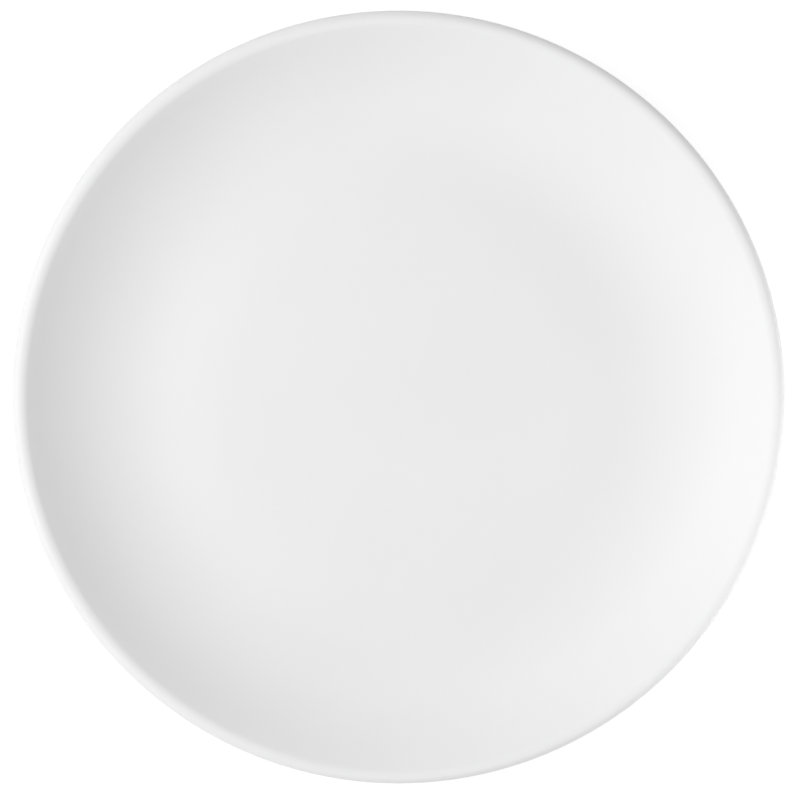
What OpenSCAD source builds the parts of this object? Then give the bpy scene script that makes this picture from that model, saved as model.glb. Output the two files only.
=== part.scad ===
// Coupe dinner plate: one roller-formed porcelain body, glazed all over except the standing edge of its foot ring.
// Each piece is a half section turned about the Z axis. The table is at Z zero, and sizes are of the glazed plate.

/* [Plate] */
// Diameter over the lip
plate_d = 270; // [240:1:300]
// Height from the table to the crest of the lip
plate_h = 24.5; // [20:0.5:30]
// Height from the table to the lowest circle of the eating face
face_h = 8.5; // [7.5:0.1:11]
// Thickness of the glaze coat
glaze_t = 0.25; // [0.1:0.05:0.4]

/* [Well] */
// Diameter of the eating face's lowest circle, where the cove begins
well_d = 171; // [150:1:190]
// Diameter of the crowned floor, inside its rounded shoulder
floor_d = 112; // [80:1:125]
// Rise of the crowned floor from its edge to its middle
floor_crown = 0.5; // [0.2:0.05:0.9]
// Steepest slope of the shoulder, in degrees
shoulder_slope = 4; // [2.5:0.1:5]
// Width of the hollow ring between the shoulder and the lowest circle
gutter_w = 11; // [6:0.5:15]

/* [Wall and lip] */
// Length of the straight stretch of the face between the cove and the lip
wall_run = 5; // [1:0.5:12]
// Radius of the lip's inner edge, which eases into the wall
lip_inner_r = 4.5; // [3:0.1:8]
// Radius of the lip's outer edge
lip_outer_r = 2.8; // [1.8:0.1:3.2]

/* [Underside] */
// Height of the underside above the table where it springs from the foot ring
belly_h = 3.6; // [3:0.1:4.5]
// Length of the straight stretch of the underside next to the lip
belly_run = 8; // [1:0.5:16]
// Thickness of the base inside the foot ring
base_t = 5.7; // [5:0.1:6.1]

/* [Foot ring] */
// Diameter of the middle of the standing edge
foot_d = 158; // [140:1:180]
// Width of the flat standing edge, which is left bare of glaze
stand_w = 2.6; // [1.5:0.1:4]
// Radius of the standing edge's two corners
toe_r = 1; // [0.6:0.1:1.2]
// Radius of the two fillets at the ring's root
root_r = 2.4; // [1.5:0.1:2.8]
// Draft of the ring's two sides, in degrees
foot_draft = 15; // [8:1:25]

/* [Hidden] */
$fn = 180;
// Largest turn between two points of an arc, in degrees, and the least number of stretches in one
arc_step = 3;
arc_least = 8;

// Points of an arc from its start, or those that carry on from the arc before it
function arc(centre, r, from, to, first = 0) =
    let (count = max(arc_least, ceil(abs(to - from) / arc_step)))
    [for (i = [first:count]) centre + r * direction(from + (to - from) * i / count)];
function next_arc(centre, r, from, to) = arc(centre, r, from, to, 1);
function direction(angle) = [cos(angle), sin(angle)];
function reversed(points) = [for (i = [len(points) - 1:-1:0]) points[i]];

// A round hollow rises by h over a width of w, with a straight run before the lip: the hollow's radius, joined to the
// lip's, and the slope of the run
function hollow_r(w, h, run) = (w * w + h * h - run * run) / (2 * h);
function run_slope(w, h, run) =
    let (r = hollow_r(w, h, run))
    atan2(r * w + run * (h - r), run * w - r * (h - r));

// The distance from a point, along a direction, to the far or near side of a circle
function reach(start, along, centre, r, side) =
    let (v = start - centre)
    side * sqrt((v * along) ^ 2 - v * v + r * r) - v * along;

// The eating face: crowned floor, shoulder, gutter, cove
well_r = well_d / 2;
floor_edge_r = floor_d / 2;
floor_slope = 2 * atan(floor_crown / floor_edge_r);
floor_r = floor_edge_r / sin(floor_slope);
gutter_r = gutter_w / sin(shoulder_slope);
shoulder_r = (well_r - gutter_w - floor_edge_r) / (sin(shoulder_slope) - sin(floor_slope));
gutter_c = [well_r, face_h + gutter_r];
shoulder_c = gutter_c - (gutter_r + shoulder_r) * direction(90 - shoulder_slope);
floor_c = shoulder_c - (floor_r - shoulder_r) * direction(90 - floor_slope);
lip_r = plate_d / 2 - lip_outer_r;
lip_inner_c = [lip_r, plate_h - lip_inner_r];
lip_outer_c = [lip_r, plate_h - lip_outer_r];
face_w = lip_r - well_r;
face_rise = plate_h - face_h;
cove_r = hollow_r(face_w, face_rise, wall_run) - lip_inner_r;
wall_slope = run_slope(face_w, face_rise, wall_run);
cove_c = [well_r, face_h + cove_r];

// The underside, from the lip to the foot ring
foot_r = foot_d / 2;
belly_w = lip_r - foot_r;
belly_rise = plate_h - 2 * lip_outer_r - belly_h;
belly_r = hollow_r(belly_w, belly_rise, belly_run) + lip_outer_r;
belly_slope = run_slope(belly_w, belly_rise, belly_run);
belly_c = [foot_r, belly_h + belly_r];

// The foot ring's corners, and the fillets that its sides run up into
outer_toe_c = [foot_r + stand_w / 2, toe_r];
inner_toe_c = [foot_r - stand_w / 2, toe_r];
root_gap = toe_r + root_r + glaze_t;
outer_start = outer_toe_c + root_gap * direction(-foot_draft);
outer_up = direction(90 - foot_draft);
outer_root_c = outer_start + outer_up * reach(outer_start, outer_up, belly_c, belly_r + root_r, -1);
outer_root_lean = asin((outer_root_c - belly_c)[0] / (belly_r + root_r));
ceiling_r = floor_r - base_t;
inner_start = inner_toe_c + root_gap * direction(180 + foot_draft);
inner_up = direction(90 + foot_draft);
inner_root_c = inner_start + inner_up * reach(inner_start, inner_up, floor_c, ceiling_r - root_r, 1);
inner_root_lean = asin((inner_root_c - floor_c)[0] / (ceiling_r - root_r));

// The line from the middle of the face, over the lip, to the foot ring's outer side, at a depth below the glazed surface
function face_line(depth) = concat(
    arc(floor_c, floor_r - depth, 90, 90 - floor_slope),
    next_arc(shoulder_c, shoulder_r - depth, 90 - floor_slope, 90 - shoulder_slope),
    next_arc(gutter_c, gutter_r + depth, -90 - shoulder_slope, -90),
    next_arc(cove_c, cove_r + depth, -90, wall_slope - 90),
    arc(lip_inner_c, lip_inner_r - depth, 90 + wall_slope, 90),
    next_arc(lip_outer_c, lip_outer_r - depth, 90, belly_slope - 90),
    arc(belly_c, belly_r - depth, belly_slope - 90, outer_root_lean - 90),
    next_arc(outer_root_c, root_r + depth, 90 + outer_root_lean, 180 - foot_draft));

// The line from the foot ring's inner side to the middle of the base, at a depth below the glazed surface
function base_line(depth) = concat(
    arc(inner_root_c, root_r + depth, foot_draft, 90 - inner_root_lean),
    next_arc(floor_c, ceiling_r + depth, 90 - inner_root_lean, 90));

// The bare standing edge, from the outer corner to the inner one
stand_line = concat(
    arc(outer_toe_c, toe_r, -foot_draft, -90),
    arc(inner_toe_c, toe_r, -90, foot_draft - 180));

// Fired clay body: floor, cove, wall, lip and foot ring in one piece
module porcelain_body() {
    color("ghostwhite")
    rotate_extrude()
    polygon(concat(face_line(glaze_t), stand_line, base_line(glaze_t)));
}

// Glaze over the eating face, the lip and the underside, down to the root of the foot ring
module face_glaze() {
    color("white")
    rotate_extrude()
    polygon(concat(face_line(0), reversed(face_line(glaze_t))));
}

// Glaze in the recess inside the foot ring
module base_glaze() {
    color("white")
    rotate_extrude()
    polygon(concat(base_line(0), reversed(base_line(glaze_t))));
}

porcelain_body();
face_glaze();
base_glaze();
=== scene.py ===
from math import asin, atan, atan2, cos, pi, radians, sin, sqrt, tau

import bmesh
import bpy
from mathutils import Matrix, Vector


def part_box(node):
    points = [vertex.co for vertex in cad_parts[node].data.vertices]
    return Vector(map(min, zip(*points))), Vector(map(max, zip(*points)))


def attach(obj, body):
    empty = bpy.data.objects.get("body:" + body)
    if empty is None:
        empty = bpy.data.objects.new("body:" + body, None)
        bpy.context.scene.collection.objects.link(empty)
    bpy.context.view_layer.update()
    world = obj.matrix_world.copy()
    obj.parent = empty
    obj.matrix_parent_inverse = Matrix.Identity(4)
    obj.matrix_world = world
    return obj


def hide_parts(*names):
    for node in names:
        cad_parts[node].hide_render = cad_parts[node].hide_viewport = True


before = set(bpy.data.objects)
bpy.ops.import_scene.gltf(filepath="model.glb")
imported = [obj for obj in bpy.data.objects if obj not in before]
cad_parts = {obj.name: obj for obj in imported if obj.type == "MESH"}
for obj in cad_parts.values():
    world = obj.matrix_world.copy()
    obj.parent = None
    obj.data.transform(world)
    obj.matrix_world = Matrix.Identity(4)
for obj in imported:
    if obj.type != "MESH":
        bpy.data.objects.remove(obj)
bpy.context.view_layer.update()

# Porcelain body
# One blank of white porcelain clay, rolled on a plaster mould under a turning steel head, so that floor,
# wall, lip and foot ring are a single piece. The glaze covers all of it but the standing edge of the ring,
# which is ground flat.
plate_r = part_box("face_glaze")[1].x
plate_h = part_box("face_glaze")[1].z
glaze_t = 0.00025
quarter = pi / 2
on_axis = glaze_t / 100
segments = 240

# The eating face, measured on the glaze
face_h = 0.0085
well_r = 0.0855
floor_edge_r = 0.056
floor_crown = 0.0005
shoulder_slope = radians(4)
gutter_w = 0.011
wall_run = 0.005
lip_inner_r = 0.0045
lip_outer_r = 0.0028

# The underside and the foot ring
foot_r = 0.079
belly_h = 0.0036
belly_run = 0.008
base_t = 0.0057
stand_w = 0.0026
toe_r = 0.001
root_r = 0.0024
foot_draft = radians(15)


def direction(angle):
    """A unit step at an angle in the half section, where X runs out from the axis and Y is the height."""
    return Vector((cos(angle), sin(angle)))


def arc(centre, radius, start, end, steps):
    """Points of an arc in the half section."""
    angles = [start + (end - start) * i / steps for i in range(steps + 1)]
    return [centre + radius * direction(angle) for angle in angles]


def hollow(width, rise, run):
    """The radius of a round hollow that ends in a straight run, joined to the lip's radius, and the slope of
    that run."""
    radius = (width ** 2 + rise ** 2 - run ** 2) / (2 * rise)
    return radius, atan2(radius * width + run * (rise - radius), run * width - radius * (rise - radius))


def reach(start, along, centre, radius, side):
    """How far a line runs from its start to the near side (-1) or the far side (1) of a circle."""
    gap = start - centre
    return side * sqrt(gap.dot(along) ** 2 - gap.dot(gap) + radius ** 2) - gap.dot(along)


floor_slope = 2 * atan(floor_crown / floor_edge_r)
floor_r = floor_edge_r / sin(floor_slope)
gutter_r = gutter_w / sin(shoulder_slope)
shoulder_r = (well_r - gutter_w - floor_edge_r) / (sin(shoulder_slope) - sin(floor_slope))
gutter_c = Vector((well_r, face_h + gutter_r))
shoulder_c = gutter_c - (gutter_r + shoulder_r) * direction(quarter - shoulder_slope)
floor_c = shoulder_c - (floor_r - shoulder_r) * direction(quarter - floor_slope)
lip_r = plate_r - lip_outer_r
lip_inner_c = Vector((lip_r, plate_h - lip_inner_r))
lip_outer_c = Vector((lip_r, plate_h - lip_outer_r))
face_hollow_r, wall_slope = hollow(lip_r - well_r, plate_h - face_h, wall_run)
cove_r = face_hollow_r - lip_inner_r
cove_c = Vector((well_r, face_h + cove_r))
belly_hollow_r, belly_slope = hollow(lip_r - foot_r, plate_h - 2 * lip_outer_r - belly_h, belly_run)
belly_r = belly_hollow_r + lip_outer_r
belly_c = Vector((foot_r, belly_h + belly_r))
outer_toe_c = Vector((foot_r + stand_w / 2, toe_r))
inner_toe_c = Vector((foot_r - stand_w / 2, toe_r))
root_gap = toe_r + root_r + glaze_t
outer_up = direction(quarter - foot_draft)
outer_start = outer_toe_c + root_gap * direction(-foot_draft)
outer_root_c = outer_start + outer_up * reach(outer_start, outer_up, belly_c, belly_r + root_r, -1)
outer_root_lean = asin((outer_root_c - belly_c).x / (belly_r + root_r))
ceiling_r = floor_r - base_t
inner_up = direction(quarter + foot_draft)
inner_start = inner_toe_c + root_gap * direction(pi + foot_draft)
inner_root_c = inner_start + inner_up * reach(inner_start, inner_up, floor_c, ceiling_r - root_r, 1)
inner_root_lean = asin((inner_root_c - floor_c).x / (ceiling_r - root_r))


def face_line(depth):
    """From the middle of the eating face over the lip to the root of the foot ring, at a depth below the
    surface of the glaze."""
    floor = arc(floor_c, floor_r - depth, quarter, quarter - floor_slope, steps=14)
    shoulder = arc(shoulder_c, shoulder_r - depth, quarter - floor_slope, quarter - shoulder_slope, steps=12)
    gutter = arc(gutter_c, gutter_r + depth, -quarter - shoulder_slope, -quarter, steps=10)
    cove = arc(cove_c, cove_r + depth, -quarter, wall_slope - quarter, steps=36)
    lip_inside = arc(lip_inner_c, lip_inner_r - depth, quarter + wall_slope, quarter, steps=14)
    lip_outside = arc(lip_outer_c, lip_outer_r - depth, quarter, belly_slope - quarter, steps=40)
    belly = arc(belly_c, belly_r - depth, belly_slope - quarter, outer_root_lean - quarter, steps=36)
    root = arc(outer_root_c, root_r + depth, quarter + outer_root_lean, pi - foot_draft, steps=14)
    return floor + shoulder[1:] + gutter[1:] + cove[1:] + lip_inside + lip_outside[1:] + belly + root[1:]


def base_line(depth, ceiling_steps=24):
    """From the root of the foot ring to the middle of the recess inside it, at a depth below the surface of
    the glaze."""
    root = arc(inner_root_c, root_r + depth, foot_draft, quarter - inner_root_lean, steps=14)
    ceiling = arc(floor_c, ceiling_r + depth, quarter - inner_root_lean, quarter, steps=ceiling_steps)
    return root + ceiling[1:]


def smooth_step(share):
    """A soft rise from nothing to one."""
    share = min(1, max(0, share))
    return share * share * (3 - 2 * share)


# The lip is sponged by hand, so its crest lies a little off the middle. The shift starts inside the lip and
# eases in. The wall sags a little in the kiln, in waves: each has its count, its depth and its start.
crest_off = 0.0004
crest_turn = radians(-45)
crest_start = 0.0082
crest_ease = 0.00615
sag_waves = ((2, 0.00016, 0.6), (3, 0.00010, 2.1))


def fired(point, turn):
    """Where a point of the half section lies on the fired plate, at a turn about the axis."""
    r, z = point
    inside = (r - lip_r + crest_start) / crest_ease
    outside = (plate_r - r) / lip_outer_r
    shift = crest_off * smooth_step(min(inside, outside)) * cos(turn - crest_turn)
    sag = sum(depth * (1 + cos(count * turn + start)) / 2 for count, depth, start in sag_waves)
    sag *= smooth_step((r - well_r) / (plate_r - well_r))
    return ((r + shift) * cos(turn), (r + shift) * sin(turn), z - sag)


def turned(name, loop, run_down=None):
    """A closed turned piece. Its loop of half-section points starts and ends on the axis, and run_down says
    how far each point moves at a turn about the axis."""
    shell = bmesh.new()
    hoops = []
    for index, point in enumerate(loop):
        if point.x < on_axis:
            hoops.append([shell.verts.new((0, 0, point.y))] * segments)
            continue
        hoop = []
        for k in range(segments):
            turn = tau * k / segments
            moved = point + run_down(index, turn) if run_down else point
            hoop.append(shell.verts.new(fired(moved, turn)))
        hoops.append(hoop)
    for near, far in zip(hoops, hoops[1:]):
        for k in range(segments):
            corners = []
            for vertex in (near[k], far[k], far[k - 1], near[k - 1]):
                if vertex not in corners:
                    corners.append(vertex)
            shell.faces.new(corners).smooth = True
    bmesh.ops.recalc_face_normals(shell, faces=shell.faces)
    mesh = bpy.data.meshes.new(name)
    shell.to_mesh(mesh)
    shell.free()
    piece = bpy.data.objects.new(name, mesh)
    bpy.context.collection.objects.link(piece)
    return piece


class Finish:
    """A material on a piece. Its textures lie in the piece's own place, in metres."""

    def __init__(self, name, piece):
        material = bpy.data.materials.new(name)
        material.use_nodes = True
        piece.data.materials.append(material)
        self.nodes = material.node_tree.nodes
        self.links = material.node_tree.links
        self.place = self.nodes.new("ShaderNodeTexCoord").outputs["Object"]

    def feed(self, socket, value):
        """Links a value to a socket of the main shader."""
        self.links.new(value, self.nodes["Principled BSDF"].inputs[socket])

    def noise(self, waves, detail, grain=0.5):
        """A noise texture of so many waves to the metre."""
        texture = self.nodes.new("ShaderNodeTexNoise")
        texture.inputs["Scale"].default_value = waves
        texture.inputs["Detail"].default_value = detail
        texture.inputs["Roughness"].default_value = grain
        self.links.new(self.place, texture.inputs["Vector"])
        return texture.outputs["Fac"]

    def rings(self, waves, detail=2):
        """Uneven rings round the plate's axis, so many to the metre."""
        flat = self.nodes.new("ShaderNodeVectorMath")
        flat.operation = "MULTIPLY"
        flat.inputs[1].default_value = (1, 1, 0)
        self.links.new(self.place, flat.inputs[0])
        radius = self.nodes.new("ShaderNodeVectorMath")
        radius.operation = "LENGTH"
        self.links.new(flat.outputs["Vector"], radius.inputs[0])
        lines = self.nodes.new("ShaderNodeTexNoise")
        lines.noise_dimensions = "1D"
        lines.inputs["Scale"].default_value = waves
        lines.inputs["Detail"].default_value = detail
        self.links.new(radius.outputs["Value"], lines.inputs["W"])
        return lines.outputs["Fac"]

    def product(self, first, second):
        """Two values multiplied."""
        times = self.nodes.new("ShaderNodeMath")
        times.operation = "MULTIPLY"
        self.links.new(first, times.inputs[0])
        self.links.new(second, times.inputs[1])
        return times.outputs["Value"]

    def ramp(self, value, *stops):
        """A colour ramp through stops, each of a place and a colour."""
        colours = self.nodes.new("ShaderNodeValToRGB")
        elements = colours.color_ramp.elements
        while len(elements) < len(stops):
            elements.new(0.5)
        for element, (spot, colour) in zip(elements, stops):
            element.position = spot
            element.color = (*colour, 1)
        self.links.new(value, colours.inputs["Fac"])
        return colours.outputs["Color"]

    def span(self, value, low, high, least, most):
        """Takes a value from the range of low to high to that of least to most."""
        spread = self.nodes.new("ShaderNodeMapRange")
        spread.inputs["From Min"].default_value = low
        spread.inputs["From Max"].default_value = high
        spread.inputs["To Min"].default_value = least
        spread.inputs["To Max"].default_value = most
        self.links.new(value, spread.inputs["Value"])
        return spread.outputs["Result"]

    def bump(self, height, depth, under=None):
        """A bump of a depth in metres, over another one if there is one."""
        raised = self.nodes.new("ShaderNodeBump")
        raised.inputs["Distance"].default_value = depth
        self.links.new(height, raised.inputs["Height"])
        if under:
            self.links.new(under, raised.inputs["Normal"])
        return raised.outputs["Normal"]


outer_toe = arc(outer_toe_c, toe_r, -foot_draft, -quarter, steps=8)
inner_toe = arc(inner_toe_c, toe_r, -quarter, foot_draft - pi, steps=8)
body = turned("plate_body", face_line(glaze_t) + outer_toe + inner_toe + base_line(glaze_t))

# The colours and sheen of the ground edge, from its scuffs to its clean clay
scuff_grey = (0.66, 0.645, 0.62)
worn_white = (0.775, 0.76, 0.735)
clay_white = (0.815, 0.803, 0.778)
scuff_low = 0.13
scuff_middle = 0.21
scuff_high = 0.38
scuff_rough = 0.55
clay_rough = 0.78
grinding = 2600
bare_clay = Finish("bare_porcelain", body)
ground = bare_clay.rings(grinding)
scuffs = bare_clay.product(bare_clay.noise(waves=240, detail=4, grain=0.6), ground)
clay_stops = ((scuff_low, scuff_grey), (scuff_middle, worn_white), (scuff_high, clay_white))
bare_clay.feed("Base Color", bare_clay.ramp(scuffs, *clay_stops))
bare_clay.feed("Roughness", bare_clay.span(scuffs, scuff_low, scuff_high, scuff_rough, clay_rough))
clay_grain = bare_clay.bump(bare_clay.noise(waves=3200, detail=3, grain=0.6), depth=0.00003)
bare_clay.feed("Normal", bare_clay.bump(ground, depth=0.00002, under=clay_grain))
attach(body, "root")
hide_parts("porcelain_body")

# Glaze of the eating face, lip and underside
# A clear feldspar glaze over the white body, sprayed on as slip and melted in the kiln to a quarter of a
# millimetre of satin glass. It is sponged off the foot ring before firing, so it ends in a soft, slightly
# uneven bead at the ring's root.
bead_r = glaze_t / 2
bead_run = 0.0003
bead_waves = ((3, 0.22, 0.4), (7, 0.17, 1.9), (16, 0.11, 4.0))


def uneven(turn):
    """How far the sponged edge of the glaze runs down past the fillet of the foot ring. Each wave has its
    count round the plate, its size and its start."""
    return bead_run * (0.5 + sum(size * sin(count * turn + start) for count, size, start in bead_waves))


def bead(line_end, under_end, down, steps=8):
    """The round edge of a glaze coat, from the end of its surface to the end of its underside."""
    middle = (line_end + under_end) / 2
    out = (line_end - under_end).normalized()
    angles = [pi * i / steps for i in range(steps + 1)]
    return [middle + bead_r * (out * cos(angle) + down * sin(angle)) for angle in angles]


def sponged(first, points, down):
    """How far the points of a loop run down the foot ring: only the bead's do, from its first place on."""
    def run_down(index, turn):
        in_bead = first <= index < first + len(points)
        return down * uneven(turn) if in_bead else Vector((0, 0))
    return run_down


def satin_glaze(name, piece, cloud_grey, cloud_white, peel):
    """White satin glaze: faint clouds, an uneven sheen, long ripples and a fine orange peel of a depth."""
    glaze = Finish(name, piece)
    noise_low = 0.3
    noise_high = 0.7
    clouds = glaze.noise(waves=24, detail=3)
    cloud_stops = ((noise_low, (cloud_grey,) * 3), (noise_high, (cloud_white,) * 3))
    glaze.feed("Base Color", glaze.ramp(clouds, *cloud_stops))
    sheen = glaze.noise(waves=95, detail=2)
    glaze.feed("Roughness", glaze.span(sheen, noise_low, noise_high, least=0.29, most=0.34))
    ripple = glaze.bump(glaze.noise(waves=48, detail=1), depth=0.00003)
    glaze.feed("Normal", glaze.bump(glaze.noise(waves=420, detail=0), depth=peel, under=ripple))


face_top = face_line(0)
face_under = face_line(glaze_t)
face_bead = bead(face_top[-1], face_under[-1], -outer_up)
face_loop = face_top[:-1] + face_bead + face_under[-2::-1]
face = turned("face_glaze_coat", face_loop, sponged(len(face_top) - 1, face_bead, -outer_up))
satin_glaze("face_glaze_satin", face, cloud_grey=0.825, cloud_white=0.835, peel=0.000002)
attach(face, "root")
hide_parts("face_glaze")

# Glaze of the recess inside the foot ring
# The same glaze, a separate coat because the bare standing edge cuts it off from the rest. It shows the
# shallow rings that the roller left in the clay, and it ends in the same soft bead.
ring_depth = 0.000028
ring_pitch = 0.0031
ring_steps = 200
ring_waves = ((1, 1, 0), (0.7, 1.63, 1.1), (0.5, 3.17, 2.7))


def rolled(point):
    """Where a point of the recess lies on the roller's rings, which die away towards the foot ring's fillet.
    Each wave has its size, its length in pitches and its start."""
    across = tau * point.x / ring_pitch
    wave = sum(size * sin(across / length + start) for size, length, start in ring_waves)
    height = ring_depth * wave * smooth_step((inner_root_c.x - point.x) / (2 * ring_pitch))
    return Vector((point.x, point.y + height))


base_top = [rolled(point) for point in base_line(0, ring_steps)]
base_under = base_line(glaze_t)
base_bead = bead(base_under[0], base_top[0], -inner_up)
base_loop = base_under[:0:-1] + base_bead + base_top[1:]
recess = turned("recess_glaze_coat", base_loop, sponged(len(base_under) - 1, base_bead, -inner_up))
satin_glaze("recess_glaze_satin", recess, cloud_grey=0.81, cloud_white=0.83, peel=0.000003)
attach(recess, "root")
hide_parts("base_glaze")

# Floor
# A wide sheet of white board under the plate, which the camera and the glaze see as white but for the
# plate's own shadow.
floor_half = 0.9
board_grey = (0.6, 0.6, 0.6, 1)
shadow_grey = (0.5, 0.5, 0.5, 1)
board_glow = 0.70
corners = [(-floor_half, -floor_half, 0), (floor_half, -floor_half, 0), (floor_half, floor_half, 0),
           (-floor_half, floor_half, 0)]
sheet = bpy.data.meshes.new("floor")
sheet.from_pydata(corners, [], [(0, 1, 2, 3)])
floor = bpy.data.objects.new("floor", sheet)
bpy.context.collection.objects.link(floor)
board = bpy.data.materials.new("white_board")
board.use_nodes = True
sheet.materials.append(board)


def seen_directly(tree):
    """One where the camera, a reflection or a clear body looks at a surface, and nothing where light falls
    on it."""
    path = tree.nodes.new("ShaderNodeLightPath")
    value = path.outputs["Is Camera Ray"]
    for other in ("Is Glossy Ray", "Is Transmission Ray"):
        either = tree.nodes.new("ShaderNodeMath")
        either.operation = "MAXIMUM"
        tree.links.new(value, either.inputs[0])
        tree.links.new(path.outputs[other], either.inputs[1])
        value = either.outputs["Value"]
    return value


nodes, links = board.node_tree.nodes, board.node_tree.links
nodes.remove(nodes["Principled BSDF"])
matte = nodes.new("ShaderNodeBsdfDiffuse")
matte.inputs["Color"].default_value = board_grey
shaded = nodes.new("ShaderNodeBsdfDiffuse")
shaded.inputs["Color"].default_value = shadow_grey
white = nodes.new("ShaderNodeEmission")
white.inputs["Strength"].default_value = board_glow
both = nodes.new("ShaderNodeAddShader")
links.new(shaded.outputs["BSDF"], both.inputs[0])
links.new(white.outputs["Emission"], both.inputs[1])
choice = nodes.new("ShaderNodeMixShader")
links.new(seen_directly(board.node_tree), choice.inputs["Fac"])
links.new(matte.outputs["BSDF"], choice.inputs[1])
links.new(both.outputs["Shader"], choice.inputs[2])
links.new(choice.outputs["Shader"], nodes["Material Output"].inputs["Surface"])

# Light
# A white room all round, broad soft boxes overhead and on the left, a fill light low down in front, and
# two strips close by on the right: one low down for the outside of the lip, and one higher for its crest.
room_strength = 0.418
backdrop_white = 1.0
world = bpy.data.worlds.new("white_room")
bpy.context.scene.world = world
world.use_nodes = True
nodes, links = world.node_tree.nodes, world.node_tree.links
room = nodes["Background"]
room.inputs["Color"].default_value = (1, 1, 1, 1)
room.inputs["Strength"].default_value = room_strength
backdrop = nodes.new("ShaderNodeBackground")
backdrop.inputs["Color"].default_value = (1, 1, 1, 1)
backdrop.inputs["Strength"].default_value = backdrop_white
choice = nodes.new("ShaderNodeMixShader")
links.new(seen_directly(world.node_tree), choice.inputs["Fac"])
links.new(room.outputs["Background"], choice.inputs[1])
links.new(backdrop.outputs["Background"], choice.inputs[2])
links.new(choice.outputs["Shader"], nodes["World Output"].inputs["Surface"])


def soft_light(name, place, aim, width, height, watts, mirrored):
    """A soft light, aimed at a point and out of the camera's sight. The glaze mirrors it or not."""
    lamp = bpy.data.lights.new(name, "AREA")
    lamp.shape = "RECTANGLE"
    lamp.size = width
    lamp.size_y = height
    lamp.energy = watts
    light = bpy.data.objects.new(name, lamp)
    light.location = place
    light.rotation_euler = (aim - place).to_track_quat("-Z", "Y").to_euler()
    light.visible_camera = False
    light.visible_glossy = mirrored
    bpy.context.collection.objects.link(light)


def round_plate(azimuth, elevation, distance=1.3):
    """A point round the plate. Azimuth zero is the picture's right, and a quarter turn is its top."""
    around, up = radians(azimuth), radians(elevation)
    return distance * Vector((cos(up) * cos(around), cos(up) * sin(around), sin(up)))


middle = Vector((0, 0, 0))
soft_light("overhead", round_plate(0, 90), middle, width=1.6, height=1.6, watts=4.9, mirrored=True)
soft_light("far_left", round_plate(145, 40), middle, width=1.0, height=1.0, watts=2.08, mirrored=True)
soft_light("left", round_plate(180, 36), middle, width=1.0, height=0.9, watts=7.65, mirrored=False)
soft_light("low_front", round_plate(270, 12), middle, width=1.2, height=0.4, watts=2.61, mirrored=False)
low_strip = Vector((0.27, -0.05, 0.017))
low_aim = Vector((0, 0, low_strip.z))
soft_light("low_strip", low_strip, low_aim, width=0.26, height=0.02, watts=0.14, mirrored=False)
crest_strip = Vector((0.19, -0.06, 0.12))
crest_aim = Vector((0.128, -0.04, plate_h))
soft_light("crest_strip", crest_strip, crest_aim, width=0.12, height=0.02, watts=0.0256, mirrored=False)

# Camera
# Straight above the plate with a long lens. The plate's outline is 773 of the picture's 800 pixels across.
picture_px = 800
outline_px = 773
outline_centre_px = (398.5, 397.0)
camera_up = 1.2
metres_per_px = 2 * plate_r / outline_px
lens_view = bpy.data.cameras.new("overhead_camera")
lens_view.sensor_width = 36
lens_view.lens = lens_view.sensor_width * camera_up / (picture_px * metres_per_px)
camera = bpy.data.objects.new("overhead_camera", lens_view)
camera.location = ((picture_px / 2 - outline_centre_px[0]) * metres_per_px,
                   (outline_centre_px[1] - picture_px / 2) * metres_per_px,
                   lip_outer_c.y + camera_up)
bpy.context.collection.objects.link(camera)
bpy.context.scene.camera = camera
bpy.context.scene.view_settings.view_transform = "Standard"
